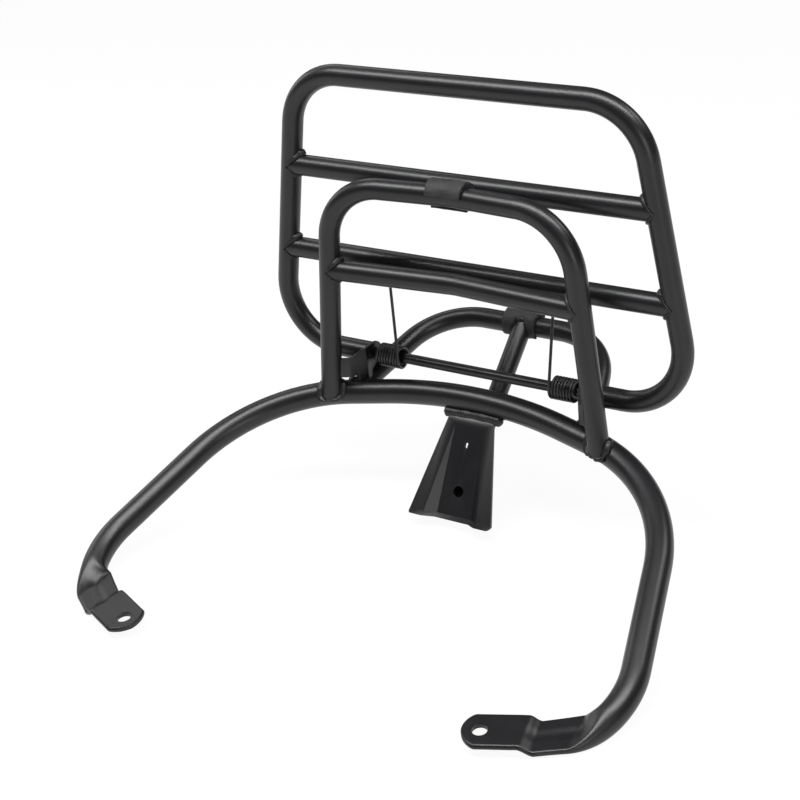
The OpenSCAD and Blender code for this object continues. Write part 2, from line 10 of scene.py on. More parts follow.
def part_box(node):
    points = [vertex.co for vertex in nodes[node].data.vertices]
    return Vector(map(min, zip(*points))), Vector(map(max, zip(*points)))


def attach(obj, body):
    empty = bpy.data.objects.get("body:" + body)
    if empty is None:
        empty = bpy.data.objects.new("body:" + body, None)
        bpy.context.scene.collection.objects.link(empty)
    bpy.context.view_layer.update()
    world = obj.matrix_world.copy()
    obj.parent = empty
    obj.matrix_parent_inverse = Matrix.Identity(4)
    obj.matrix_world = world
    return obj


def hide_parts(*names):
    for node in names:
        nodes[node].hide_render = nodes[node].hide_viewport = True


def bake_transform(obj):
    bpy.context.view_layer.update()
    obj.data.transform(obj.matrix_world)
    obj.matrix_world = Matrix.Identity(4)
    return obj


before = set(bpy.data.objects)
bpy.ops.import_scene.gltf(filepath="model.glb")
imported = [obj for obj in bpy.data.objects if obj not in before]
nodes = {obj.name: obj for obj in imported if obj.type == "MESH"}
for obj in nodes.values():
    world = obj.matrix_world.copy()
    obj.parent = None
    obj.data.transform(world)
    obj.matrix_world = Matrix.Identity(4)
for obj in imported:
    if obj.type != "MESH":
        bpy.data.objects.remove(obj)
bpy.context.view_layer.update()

MM = 0.001

# Tubes and wire, by radius
TUBE_R = 8.0
HOOP_R = 9.5
STRUT_R = 7.5
WIRE_R = 1.15

# Middle of the hinge rod
HINGE_Y = 262.5
HINGE_Z = 101.0

# Rack uprights and bars, up from the hinge rod
RACK_FOOT_X = 174.7
RACK_SHOULDER_X, RACK_SHOULDER_Z = 136.8, 220.1
LOWER_BAR_Z, UPPER_BAR_Z = 79.6, 147.5
RAIL_END_X = 93.5

# Backrest, ahead of the hinge rod and swept forward to its sides
BACKREST_AHEAD = 20
BACKREST_SWEEP = math.radians(4.8)
BACKREST_FOOT_X, BACKREST_FOOT_Z = 114.5, -28
BACKREST_SHOULDER_X, BACKREST_SHOULDER_Z = 96.8, 147.2
CROSSBAR_Z = 79.5

# Hoop, in its own sloping plane: across, and forward from the middle of its rear run
HOOP_SLOPE = math.radians(19.76)
HOOP_AHEAD, HOOP_BELOW = 4.2, 21.4
HOOP_CORNERS = [(-180.9, 267.8), (-219.45, 221.8), (-176.35, 36.45), (-38.9, 0), (38.9, 0), (176.35, 36.45),
    (219.45, 221.8), (180.9, 267.8)]
HOOP_BENDS = [0, 68.7, 126, 285, 285, 126, 68.7, 0]

# Lugs at the ends of the hoop
LUG_HOLE = Vector((143.5, 0, 2))
LUG_HOLE_R = 5.0
LUG_WIDE, LUG_THICK = 29.4, 4.0
LUG_TILT = math.radians(5)
GROOVE_HALF = 7

# Support loop behind the hoop, in the hoop's plane
LOOP_FOOT_X, LOOP_FOOT_FORWARD = 98.7, 10
LOOP_CORNER_X, LOOP_REAR_FORWARD = 71.9, -83.5

# Strut and bracket
STRUT_X = 1.2
STRUT_SLOPE = math.radians(39.6)
BRACKET_LEAN = math.radians(33.25)
BRACKET_RECESS, BRACKET_RECESS_RUN = 6.6, 68.3


def from_hinge(x, y, z):
    return Vector((x, HINGE_Y + y, HINGE_Z + z))


def in_hoop_plane(x, forward):
    return Vector((x, HINGE_Y - HOOP_AHEAD - forward * math.cos(HOOP_SLOPE),
        HINGE_Z - HOOP_BELOW - forward * math.sin(HOOP_SLOPE)))


def on_backrest(x, z):
    return from_hinge(x, -BACKREST_AHEAD - math.tan(BACKREST_SWEEP) * abs(x), z)


def side_name(s):
    return "left" if s < 0 else "right"


# Studio: camera, floor, lamps and surroundings


def place_camera():
    bpy.ops.object.camera_add(location=(0.5893, -0.7047, 0.6620))
    camera = bpy.context.object
    camera.name = "camera"
    right = Vector((0.8455, 0.5270, -0.0859))
    up = Vector((-0.1740, 0.4241, 0.8887))
    back = Vector((0.5048, -0.7365, 0.4503))
    turn = Matrix((right, up, back)).transposed()
    camera.rotation_euler = turn.to_euler()
    camera.data.sensor_width = 36
    camera.data.lens = 75.98
    camera.data.shift_x = 0.00393
    camera.data.shift_y = -0.01135
    camera.data.clip_start = 0.01
    bpy.context.scene.camera = camera


def maths(tree, operation, first, second):
    """Two sockets, or a socket and a number, made one."""
    node = tree.nodes.new("ShaderNodeMath")
    node.operation = operation
    tree.links.new(first, node.inputs[0])
    if isinstance(second, float):
        node.inputs[1].default_value = second
    else:
        tree.links.new(second, node.inputs[1])
    return node.outputs[0]


def mixed(tree, share, first, second, out):
    """The output gets the first shader, and the given share of the second one."""
    mix = tree.nodes.new("ShaderNodeMixShader")
    tree.links.new(share, mix.inputs[0])
    tree.links.new(first.outputs[0], mix.inputs[1])
    tree.links.new(second.outputs[0], mix.inputs[2])
    tree.links.new(mix.outputs[0], out.inputs["Surface"])


def lighting_node(tree, kind, colour, strength):
    node = tree.nodes.new(kind)
    node.inputs["Color"].default_value = (*colour, 1)
    node.inputs["Strength"].default_value = strength
    return node


def studio_white():
    """White to the camera and in what is reflected, matt to the lamps, so that it keeps the shadow."""
    material = bpy.data.materials.new("studio_white")
    material.use_nodes = True
    tree = material.node_tree
    tree.nodes.clear()
    out = tree.nodes.new("ShaderNodeOutputMaterial")
    matt = tree.nodes.new("ShaderNodeBsdfDiffuse")
    matt.inputs["Color"].default_value = (0.93, 0.93, 0.93, 1)
    lit = lighting_node(tree, "ShaderNodeEmission", (1, 1, 1), 1.0)
    rays = tree.nodes.new("ShaderNodeLightPath")
    seen = maths(tree, "MAXIMUM", rays.outputs["Is Camera Ray"], rays.outputs["Is Transmission Ray"])
    seen = maths(tree, "MAXIMUM", seen, rays.outputs["Is Glossy Ray"])
    mixed(tree, maths(tree, "MULTIPLY", seen, 0.94), matt, lit, out)
    return material


def lay_floor():
    bpy.ops.mesh.primitive_circle_add(vertices=96, radius=5.0, fill_type="NGON", location=(0, 0.15, -0.0062))
    floor = bpy.context.object
    floor.name = "studio_floor"
    floor.data.materials.append(studio_white())
    bpy.ops.object.transform_apply(location=True, rotation=True, scale=True)


def surround():
    """A dim grey room, white to the camera and a little lighter in what is reflected."""
    world = bpy.data.worlds.new("studio")
    bpy.context.scene.world = world
    world.use_nodes = True
    tree = world.node_tree
    tree.nodes.clear()
    out = tree.nodes.new("ShaderNodeOutputWorld")
    room = lighting_node(tree, "ShaderNodeBackground", (0.16, 0.16, 0.165), 0.5)
    white = lighting_node(tree, "ShaderNodeBackground", (1, 1, 1), 1.0)
    rays = tree.nodes.new("ShaderNodeLightPath")
    glossy_share = maths(tree, "MULTIPLY", rays.outputs["Is Glossy Ray"], 0.03)
    seen = maths(tree, "MAXIMUM", rays.outputs["Is Camera Ray"], rays.outputs["Is Transmission Ray"])
    mixed(tree, maths(tree, "MAXIMUM", seen, glossy_share), room, white, out)


def softbox(name, place, aim, width, height, watts, turn=0):
    bpy.ops.object.light_add(type="AREA", location=place)
    lamp = bpy.context.object
    lamp.name = name
    lamp.data.shape = "RECTANGLE"
    lamp.data.size = width
    lamp.data.size_y = height
    lamp.data.energy = watts
    aimed = (Vector(place) - Vector(aim)).to_track_quat("Z", "Y").to_matrix()
    lamp.rotation_euler = (Matrix.Rotation(math.radians(turn), 3, "Z") @ aimed).to_euler()
    lamp.visible_camera = False


place_camera()
lay_floor()
surround()
ON_RACK = (0, 0.15, 0.1)
softbox("overhead_box", (-0.10, -0.14, 1.75), (-0.10, 0.10, 0.1), 2.9, 0.45, 57, turn=17)
softbox("rear_box", (1.2, 1.4, 1.75), ON_RACK, 0.7, 0.7, 9)
softbox("far_left_box", (-1.3, 1.3, 1.3), ON_RACK, 0.8, 0.5, 3)
softbox("left_box", (-1.9, 0.6, 0.8), ON_RACK, 0.8, 1.0, 5)
softbox("right_box", (1.45, -0.85, 0.62), ON_RACK, 0.6, 0.7, 5)
bpy.context.scene.view_settings.view_transform = "Standard"


# Finishes


def finish_tree(name, colour, metallic, roughness, specular):
    material = bpy.data.materials.new(name)
    material.use_nodes = True
    tree = material.node_tree
    shader = tree.nodes["Principled BSDF"]
    shader.inputs["Base Color"].default_value = (*colour, 1)
    shader.inputs["Metallic"].default_value = metallic
    shader.inputs["Roughness"].default_value = roughness
    shader.inputs["Specular IOR Level"].default_value = specular
    where = tree.nodes.new("ShaderNodeTexCoord")
    return material, tree, shader, where


def noise(tree, where, scale, detail):
    node = tree.nodes.new("ShaderNodeTexNoise")
    node.inputs["Scale"].default_value = scale
    node.inputs["Detail"].default_value = detail
    node.inputs["Roughness"].default_value = 0.5
    tree.links.new(where.outputs["Object"], node.inputs["Vector"])
    return node.outputs["Fac"]


def cells(tree, where, scale):
    node = tree.nodes.new("ShaderNodeTexVoronoi")
    node.inputs["Scale"].default_value = scale
    tree.links.new(where.outputs["Object"], node.inputs["Vector"])
    return node.outputs["Distance"]


def spread_roughness(tree, shader, source, low, high):
    node = tree.nodes.new("ShaderNodeMapRange")
    node.inputs["From Min"].default_value = 0.3
    node.inputs["From Max"].default_value = 0.7
    node.inputs["To Min"].default_value = low
    node.inputs["To Max"].default_value = high
    tree.links.new(source, node.inputs["Value"])
    tree.links.new(node.outputs["Result"], shader.inputs["Roughness"])


def blend_colours(tree, shader, source, dark, light):
    node = tree.nodes.new("ShaderNodeValToRGB")
    node.color_ramp.elements[0].position = 0.35
    node.color_ramp.elements[0].color = (*dark, 1)
    node.color_ramp.elements[1].position = 0.65
    node.color_ramp.elements[1].color = (*light, 1)
    tree.links.new(source, node.inputs["Fac"])
    tree.links.new(node.outputs["Color"], shader.inputs["Base Color"])


def emboss(tree, shader, height, strength, distance, under=None):
    """Relief on the shader, on top of the relief under it. The distance is in metres."""
    node = tree.nodes.new("ShaderNodeBump")
    node.inputs["Strength"].default_value = strength
    node.inputs["Distance"].default_value = distance
    tree.links.new(height, node.inputs["Height"])
    if under is not None:
        tree.links.new(under, node.inputs["Normal"])
    tree.links.new(node.outputs["Normal"], shader.inputs["Normal"])
    return node.outputs["Normal"]


def powder_coat(name, rough, ripple=0.0):
    """Satin black with a fine grain and a soft peel; the ripple is for coated welds."""
    material, tree, shader, where = finish_tree(name, (0.0055, 0.0055, 0.0066),
        metallic=0.0, roughness=rough, specular=0.5)
    cloud = noise(tree, where, scale=45, detail=3)
    grain = noise(tree, where, scale=2600, detail=2)
    peel = noise(tree, where, scale=620, detail=2)
    blend_colours(tree, shader, cloud, (0.0045, 0.0045, 0.0055), (0.0068, 0.0068, 0.0080))
    spread_roughness(tree, shader, grain, rough - 0.04, rough + 0.04)
    under = emboss(tree, shader, peel, strength=0.25, distance=0.00012)
    if ripple > 0:
        under = emboss(tree, shader, cells(tree, where, scale=420), strength=ripple, distance=0.0004, under=under)
    emboss(tree, shader, grain, strength=0.12, distance=0.00004, under=under)
    return material


def sleeve_rubber():
    """Matt black rubber, mottled and softly dented."""
    material, tree, shader, where = finish_tree("sleeve_rubber", (0.018, 0.018, 0.019),
        metallic=0.0, roughness=0.62, specular=0.4)
    cloud = noise(tree, where, scale=90, detail=4)
    grain = noise(tree, where, scale=1500, detail=3)
    dents = noise(tree, where, scale=160, detail=2)
    blend_colours(tree, shader, cloud, (0.014, 0.014, 0.015), (0.026, 0.026, 0.027))
    spread_roughness(tree, shader, grain, 0.52, 0.72)
    under = emboss(tree, shader, dents, strength=0.45, distance=0.0006)
    emboss(tree, shader, grain, strength=0.3, distance=0.0001, under=under)
    return material


def spring_wire():
    """Blackened drawn wire, a little brighter in patches."""
    material, tree, shader, where = finish_tree("blackened_spring_wire", (0.035, 0.035, 0.037),
        metallic=0.6, roughness=0.34, specular=0.5)
    cloud = noise(tree, where, scale=300, detail=3)
    drawn = noise(tree, where, scale=3000, detail=2)
    blend_colours(tree, shader, cloud, (0.022, 0.022, 0.024), (0.055, 0.055, 0.057))
    spread_roughness(tree, shader, cloud, 0.26, 0.44)
    emboss(tree, shader, drawn, strength=0.2, distance=0.00005)
    return material


COAT = powder_coat("satin_powder_coat", rough=0.35)
WELD_COAT = powder_coat("coated_weld", rough=0.47, ripple=0.6)
RUBBER = sleeve_rubber()
WIRE = spring_wire()


def paint(obj, material):
    obj.data.materials.clear()
    obj.data.materials.append(material)


for name, node in nodes.items():
    if name.startswith("spring"):
        paint(node, WIRE)
    elif name.endswith("buffer"):
        paint(node, RUBBER)
    else:
        paint(node, COAT)


# Modelling by hand


def start_piece():
    bpy.ops.object.select_all(action="DESELECT")


def take_up(obj):
    """Only this object is selected, and the next operator works on it."""
    start_piece()
    obj.select_set(True)
    bpy.context.view_layer.objects.active = obj


def edit(obj):
    bpy.context.view_layer.objects.active = obj
    bpy.ops.object.mode_set(mode="EDIT")
    return bmesh.from_edit_mesh(obj.data)


def leave():
    bpy.ops.object.mode_set(mode="OBJECT")


def pick(obj, test):
    """Selects the vertices that pass the test, and what lies between them."""
    shell = bmesh.from_edit_mesh(obj.data)
    for v in shell.verts:
        v.select = bool(test(v))
    shell.select_mode = {"VERT"}
    shell.select_flush_mode()
    bmesh.update_edit_mesh(obj.data)


def settle(obj, name, material, body, angle):
    """Ends a piece: its place goes into its mesh, it is shaded and given its finish and body."""
    take_up(obj)
    bpy.ops.object.transform_apply(location=True, rotation=True, scale=True)
    bpy.ops.object.shade_smooth_by_angle(angle=math.radians(angle))
    obj.name = name
    obj.data.name = name
    paint(obj, material)
    if body:
        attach(obj, body)


def face_out(obj):
    edit(obj)
    bpy.ops.mesh.select_all(action="SELECT")
    bpy.ops.mesh.remove_doubles(threshold=0.000005)
    bpy.ops.mesh.normals_make_consistent(inside=False)
    leave()


def apply(obj, kind, **settings):
    take_up(obj)
    modifier = obj.modifiers.new(kind.lower(), kind)
    for key, value in settings.items():
        setattr(modifier, key, value)
    bpy.ops.object.modifier_apply(modifier=modifier.name)


# Paths of the tubes, and the distance to their surfaces


def line_path(a, b, steps=2):
    return [a + (b - a) * (i / steps) for i in range(steps + 1)]


def hoop_path():
    """Middle line of the hoop: straights joined by bends, each bend in 24 steps."""
    steps = 24
    flat = [Vector(c) for c in HOOP_CORNERS]
    points = [flat[0]]
    for i in range(1, len(flat) - 1):
        bend = HOOP_BENDS[i]
        into = (flat[i] - flat[i - 1]).normalized()
        out = (flat[i + 1] - flat[i]).normalized()
        turn = into.angle(out)
        inner = (out - into * into.dot(out)).normalized()
        centre = flat[i] - into * bend * math.tan(turn / 2) + inner * bend
        for k in range(steps + 1):
            a = turn * k / steps
            points.append(centre - inner * bend * math.cos(a) + into * bend * math.sin(a))
    points.append(flat[-1])
    return [in_hoop_plane(p.x, p.y) for p in points]


HOOP = hoop_path()


def distance_to(path, p):
    best = 1e9
    for a, b in zip(path, path[1:]):
        along = b - a
        share = max(0.0, min(1.0, (p - a).dot(along) / along.length_squared))
        best = min(best, (a + along * share - p).length)
    return best


def tube_surface(path, radius):
    """Distance from a point to the surface of the tube round the path, less than nothing inside it."""
    return lambda p: distance_to(path, p) - radius


def reach_to(surface, p, heading):
    """How far along heading from p the surface lies, coming from outside, or the place nearest to it."""
    far, step, halvings = 26.0, 1.0, 12
    t = far
    nearest, least = t, 1e9
    while t > -far:
        gap = surface(p + heading * t)
        if gap < least:
            nearest, least = t, gap
        if gap <= 0:
            break
        t -= step
    if least > 0:
        return nearest
    inner, outer = t, t + step
    for _ in range(halvings):
        middle = (inner + outer) / 2
        if surface(p + heading * middle) > 0:
            outer = middle
        else:
            inner = middle
    return outer


# Weld beads


def weld_bead(name, centre, heading, radius, surface, body, size, seed, along=None, crown=False):
    """A bead laid round the end of a tube, at centre and pointing along heading away from the other part.

    With along it is thickest on the two sides that lie that way, and with a crown on its upper side."""
    heading = heading.normalized()
    side = heading.cross(Vector((0, 0, 1)) if abs(heading.z) < 0.8 else Vector((1, 0, 0))).normalized()
    turn = Matrix((side, heading.cross(side), heading)).transposed().to_4x4()
    start_piece()
    segments, ring = 60, 10
    bpy.ops.mesh.primitive_torus_add(major_segments=segments, minor_segments=ring,
        major_radius=(radius + 0.1 * size) * MM, minor_radius=size * MM)
    bead = bpy.context.object
    bead.matrix_world = Matrix.Translation(centre * MM) @ turn
    bpy.ops.object.transform_apply(location=True, rotation=True, scale=True)
    shell = edit(bead)
    phase = seed * 1.7
    for k in range(segments):
        a = 2 * math.pi * k / segments
        out = side * math.cos(a) + heading.cross(side) * math.sin(a)
        rim = centre + out * radius
        rise = reach_to(surface, rim, heading)
        middle = (rim + heading * rise) * MM
        for j, v in enumerate(shell.verts):
            v.select = k * ring <= j < (k + 1) * ring
        shell.select_flush_mode()
        bpy.ops.transform.translate(value=heading * rise * MM)
        swell = 1 + 0.10 * math.sin(5 * a + phase) + 0.07 * math.sin(13 * a + 2 * phase) + 0.04 * math.sin(27 * a)
        if along is not None:
            swell *= 0.25 + 1.15 * out.dot(along) ** 2
        if crown:
            swell *= 0.45 + 1.0 * max(0.0, out.z) ** 3 + 0.25 * max(0.0, -out.z) ** 2
        bpy.ops.transform.resize(value=(swell, swell, swell), center_override=middle)
    bpy.ops.mesh.select_all(action="SELECT")
    bpy.ops.transform.vertex_random(offset=0.00012, uniform=0.0, normal=1.0, seed=seed)
    leave()
    settle(bead, name, WELD_COAT, body, angle=60)


def round_wire(name, points, radius):
    """A round wire along the points, closed at both ends."""
    start_piece()
    line = bpy.data.curves.new(name, "CURVE")
    line.dimensions = "3D"
    spline = line.splines.new("POLY")
    spline.points.add(len(points) - 1)
    for place, p in zip(spline.points, points):
        place.co = (*(Vector(p) * MM), 1)
    line.bevel_depth = radius * MM
    line.bevel_resolution = 3
    line.use_fill_caps = True
    wire = bpy.data.objects.new(name, line)
    bpy.context.scene.collection.objects.link(wire)
    wire.select_set(True)
    bpy.context.view_layer.objects.active = wire
    bpy.ops.object.convert(target="MESH")
    wire = bpy.context.object
    face_out(wire)
    return wire


def weld_run(name, points, size, body, seed):
    """A bead along the points, tapering at both ends."""
    fine = []
    for a, b in zip(points, points[1:]):
        steps = max(2, int((b - a).length / 0.8))
        fine += [a + (b - a) * (i / steps) for i in range(steps)]
    fine.append(points[-1])
    bead = round_wire(name, fine, size)
    shell = edit(bead)
    last = len(fine) - 1
    rings = [[] for _ in fine]
    for v in shell.verts:
        p = v.co / MM
        near = min(range(len(fine)), key=lambda i: (fine[i] - p).length_squared)
        rings[near].append(v.index)
    for i, members in enumerate(rings):
        shell.verts.ensure_lookup_table()
        for v in shell.verts:
            v.select = False
        for j in members:
            shell.verts[j].select = True
        shell.select_flush_mode()
        ends = min(1.0, 0.35 + min(i, last - i) / 4)
        swell = ends * (1 + 0.03 * math.sin(1.9 * i + seed) + 0.04 * math.sin(0.35 * i + 2.3 * seed))
        bpy.ops.transform.resize(value=(swell, swell, swell), center_override=fine[i] * MM)
    bpy.ops.mesh.select_all(action="SELECT")
    bpy.ops.transform.vertex_random(offset=0.00006, uniform=0.0, normal=1.0, seed=seed)
    leave()
    settle(bead, name, WELD_COAT, body, angle=60)


def weld_rack():
    """Both ends of both bars, on the uprights of the rack."""
    taper = (RACK_FOOT_X - RACK_SHOULDER_X) / RACK_SHOULDER_Z
    seed = 1
    for s in (-1, 1):
        foot, shoulder = from_hinge(s * RACK_FOOT_X, 0, 0), from_hinge(s * RACK_SHOULDER_X, 0, RACK_SHOULDER_Z)
        upright = tube_surface(line_path(foot, shoulder), TUBE_R)
        for z, level in ((LOWER_BAR_Z, "lower"), (UPPER_BAR_Z, "upper")):
            centre = from_hinge(s * (RACK_FOOT_X - z * taper), 0, z)
            weld_bead(f"weld_{level}_bar_{side_name(s)}", centre, Vector((-s, 0, 0)), TUBE_R, upright,
                "rack", size=2.6, seed=seed, crown=True)
            seed += 1


def weld_backrest():
    """The crossbar on the uprights of the backrest, and their feet on the hoop."""
    height, narrowing = BACKREST_SHOULDER_Z - BACKREST_FOOT_Z, BACKREST_FOOT_X - BACKREST_SHOULDER_X
    half = BACKREST_FOOT_X - (CROSSBAR_Z - BACKREST_FOOT_Z) * narrowing / height
    seed = 11
    for s in (-1, 1):
        foot = on_backrest(s * BACKREST_FOOT_X, BACKREST_FOOT_Z)
        shoulder = on_backrest(s * BACKREST_SHOULDER_X, BACKREST_SHOULDER_Z)
        upright = tube_surface(line_path(foot, shoulder), TUBE_R)
        centre = on_backrest(s * half, CROSSBAR_Z)
        weld_bead(f"weld_crossbar_{side_name(s)}", centre, on_backrest(0, CROSSBAR_Z) - centre, TUBE_R, upright,
            "frame", size=2.6, seed=seed, crown=True)
        near = min(range(1, len(HOOP) - 1), key=lambda i: (HOOP[i] - foot).length)
        weld_bead(f"weld_backrest_foot_{side_name(s)}", foot, shoulder - foot, TUBE_R, tube_surface(HOOP, HOOP_R),
            "frame", size=3.0, seed=seed + 1, along=(HOOP[near + 1] - HOOP[near - 1]).normalized())
        seed += 2


def weld_loop():
    """The feet of the support loop on the hoop."""
    for s in (-1, 1):
        foot = in_hoop_plane(s * LOOP_FOOT_X, LOOP_FOOT_FORWARD)
        corner = in_hoop_plane(s * LOOP_CORNER_X, LOOP_REAR_FORWARD)
        weld_bead(f"weld_loop_{side_name(s)}", foot, corner - foot, TUBE_R, tube_surface(HOOP, HOOP_R), "frame",
            size=2.4, seed=21 + s)


def on_bracket(x, down, back):
    """A point in the frame of the bracket: down its wings from the neck, and out of their back."""
    neck = from_hinge(STRUT_X, -15.6, -34)
    return neck + Vector((x, -math.sin(BRACKET_LEAN) * down + math.cos(BRACKET_LEAN) * back,
        -math.cos(BRACKET_LEAN) * down - math.sin(BRACKET_LEAN) * back))


def weld_strut():
    """The top of the strut on the support loop, and its foot on the middle panel of the bracket."""
    loop_bar = in_hoop_plane(0, LOOP_REAR_FORWARD)
    half_bar = Vector((40, 0, 0))
    strut_length, recess_start, sheet = 130, 4, 2.5
    top = loop_bar + Vector((STRUT_X, 0, 2.1))
    down = Vector((0, -math.cos(STRUT_SLOPE), -math.sin(STRUT_SLOPE)))
    bar = line_path(loop_bar - half_bar, loop_bar + half_bar)
    weld_bead("weld_strut", top, down, STRUT_R, tube_surface(bar, TUBE_R), "frame", size=2.0, seed=31)
    slope = math.atan2(BRACKET_RECESS, BRACKET_RECESS_RUN)
    back = on_bracket(0, recess_start, sheet / math.cos(slope))
    out = (on_bracket(0, -math.sin(slope), math.cos(slope)) - on_bracket(0, 0, 0)).normalized()
    foot = top + down * strut_length
    weld_bead("weld_strut_foot", foot, -down, STRUT_R, lambda p: (p - back).dot(out), "frame",
        size=2.0, seed=32)


def weld_bracket():
    """The run between the bracket's neck and the hoop, bowed as the hoop is."""
    half, steps = 25, 12
    forward = Vector((0, -0.94, -0.34))
    points = []
    for i in range(steps + 1):
        x = -half + 2 * half * i / steps
        sag = x ** 2 / (2 * HOOP_BENDS[3])
        points.append(on_bracket(x, -5.0, 3.0) + forward * sag)
    weld_run("weld_bracket_front", points, size=4.1, body="frame", seed=3)


def weld_rail_ends():
    """The hinge rod in the open ends of the rack's bottom rails."""
    for s in (-1, 1):
        end = from_hinge(s * RAIL_END_X, 0, 0)
        weld_bead(f"weld_rail_end_{side_name(s)}", end + Vector((s * 0.4, 0, 0)), Vector((-s, 0, 0)), 4.4,
            lambda p, x=abs(end.x): x - abs(p.x), "rack", size=1.5, seed=41 + s)


# Hoop, in one skin from lug to lug


def ring_points(centre, facing, thick, width, dip, tilt, count=88):
    """Outline of the squeezed tube: half circles joined by straights, evenly spaced round the wall.

    The dip is the depth of the groove along the middle of each straight."""
    level = Vector((-facing.y, facing.x, 0)).normalized()
    upright = facing.cross(level)
    across = level * math.cos(tilt) - upright * math.sin(tilt)
    normal = upright * math.cos(tilt) + level * math.sin(tilt)
    flat = max(0.0, width - thick)
    r = thick / 2
    whole = 2 * flat + 2 * math.pi * r
    points = []
    for i in range(count):
        go = whole * i / count
        if go < flat / 2:
            x, y = go, -r
        elif go < flat / 2 + math.pi * r:
            a = (go - flat / 2) / r - math.pi / 2
            x, y = flat / 2 + r * math.cos(a), r * math.sin(a)
        elif go < 1.5 * flat + math.pi * r:
            x, y = flat / 2 - (go - flat / 2 - math.pi * r), r
        elif go < 1.5 * flat + 2 * math.pi * r:
            a = (go - 1.5 * flat - math.pi * r) / r + math.pi / 2
            x, y = -flat / 2 + r * math.cos(a), r * math.sin(a)
        else:
            x, y = go - whole, -r
        if dip > 0 and abs(x) < GROOVE_HALF:
            y -= math.copysign(dip * math.cos(math.pi * x / (2 * GROOVE_HALF)) ** 2, y)
        points.append(centre + across * x + normal * y)
    return points


def level_dir(degrees):
    """Level, towards the middle of the rack, and turned forward by the angle."""
    a = math.radians(degrees)
    return Vector((-math.cos(a), -math.sin(a), 0))


def squeezed_end():
    """Stations of the right end, from the round tube to the tip: centre, facing, thickness, width, dip, tilt."""
    bend = HOOP_BENDS[6]
    before, corner, after = (in_hoop_plane(*c) for c in HOOP_CORNERS[5:])
    run, out = (corner - before).normalized(), (after - corner).normalized()
    inner = (out - run * run.dot(out)).normalized()
    keep = math.radians(28.5)
    start = corner - run * bend * math.tan(run.angle(out) / 2)
    round_end = start + inner * bend * (1 - math.cos(keep)) + run * bend * math.sin(keep)
    round_dir = run * math.cos(keep) + inner * math.sin(keep)
    lug_dir, step_dir, flat_dir = level_dir(24), level_dir(19), level_dir(36)
    lug_length, step_length, flat_length = 26.5, 9.4, 23.9
    lug_start = LUG_HOLE - lug_dir * lug_length
    step_start = lug_start - step_dir * step_length - Vector((0, 0, LUG_THICK))
    flat_start = step_start - flat_dir * flat_length
    ramp_face, foot_face, top_face = level_dir(6.5), level_dir(15), level_dir(10)
    ramp_dip, foot_dip, top_dip = 0.7, 0.55, 0.15
    stations = []

    # The ramp: the tube curves on while it is squeezed
    span = (flat_start - round_end).length
    steps = 26
    for i in range(1, steps):
        u = i / steps
        centre = (round_end * (2 * u ** 3 - 3 * u * u + 1) + round_dir * span * (u ** 3 - 2 * u * u + u)
            + flat_start * (3 * u * u - 2 * u ** 3) + flat_dir * span * (u ** 3 - u * u))
        way = (round_end * (6 * u * u - 6 * u) + round_dir * span * (3 * u * u - 4 * u + 1)
            + flat_start * (6 * u - 6 * u * u) + flat_dir * span * (3 * u * u - 2 * u)).normalized()
        facing = (round_dir * (1 - u) + ramp_face * u).normalized()
        squeeze = 0.5 * math.sin(math.pi / 2 * u ** 1.65) ** 2 + 0.5 * u ** 2.2
        thick = 2 * HOOP_R - (2 * HOOP_R - LUG_THICK) * squeeze
        widening = (LUG_WIDE - LUG_THICK) * (2 * HOOP_R - thick) / (2 * HOOP_R - LUG_THICK)
        width = (thick + widening) / facing.dot(way)
        dip = ramp_dip * max(0.0, u - 0.75) * 4
        stations.append((centre, facing, thick, max(width, thick), dip, LUG_TILT * u))
    stations.append((flat_start, ramp_face, LUG_THICK, LUG_WIDE / ramp_face.dot(flat_dir), ramp_dip, LUG_TILT))

    # The flat, then the step up to the lug
    folds = [(flat_start, ramp_face, flat_dir, ramp_dip),
        (step_start, foot_face, (flat_dir + step_dir).normalized(), foot_dip),
        (lug_start, top_face, (step_dir + lug_dir).normalized(), top_dip)]
    for (a, face_a, way_a, dip_a), (b, face_b, way_b, dip_b), steps in zip(folds, folds[1:], (8, 12)):
        for i in range(1, steps + 1):
            u = i / steps
            rise = u * u * (3 - 2 * u)
            centre = a + (b - a) * u
            centre.z = a.z + (b.z - a.z) * rise
            facing = (face_a * (1 - u) + face_b * u).normalized()
            way = (way_a * (1 - u) + way_b * u).normalized()
            dip = dip_a + (dip_b - dip_a) * u
            stations.append((centre, facing, LUG_THICK, LUG_WIDE / facing.dot(way), dip, LUG_TILT))

    # The lug, as far as its rounded tip
    tip_start, tip_back, tip_r = 3.0, 5.2, 17
    steps = 7
    for i in range(1, steps):
        u = i / steps
        facing = (top_face * (1 - u) + lug_dir * u).normalized()
        centre = lug_start + (LUG_HOLE + lug_dir * tip_start - lug_start) * u
        stations.append((centre, facing, LUG_THICK, LUG_WIDE / facing.dot(lug_dir), top_dip * (1 - u), LUG_TILT))
    for reach in (tip_start, 4.5, 6.0, 7.5, 8.8, 9.8, 10.6, 11.2, 11.6, 11.8):
        width = min(LUG_WIDE, 2 * math.sqrt(max(0.0, tip_r ** 2 - (reach + tip_back) ** 2)))
        thick = LUG_THICK if width > LUG_THICK else max(width, 2.4)
        stations.append((LUG_HOLE + lug_dir * reach, lug_dir, thick, max(width, 2.6), 0, LUG_TILT))
    return round_end, stations


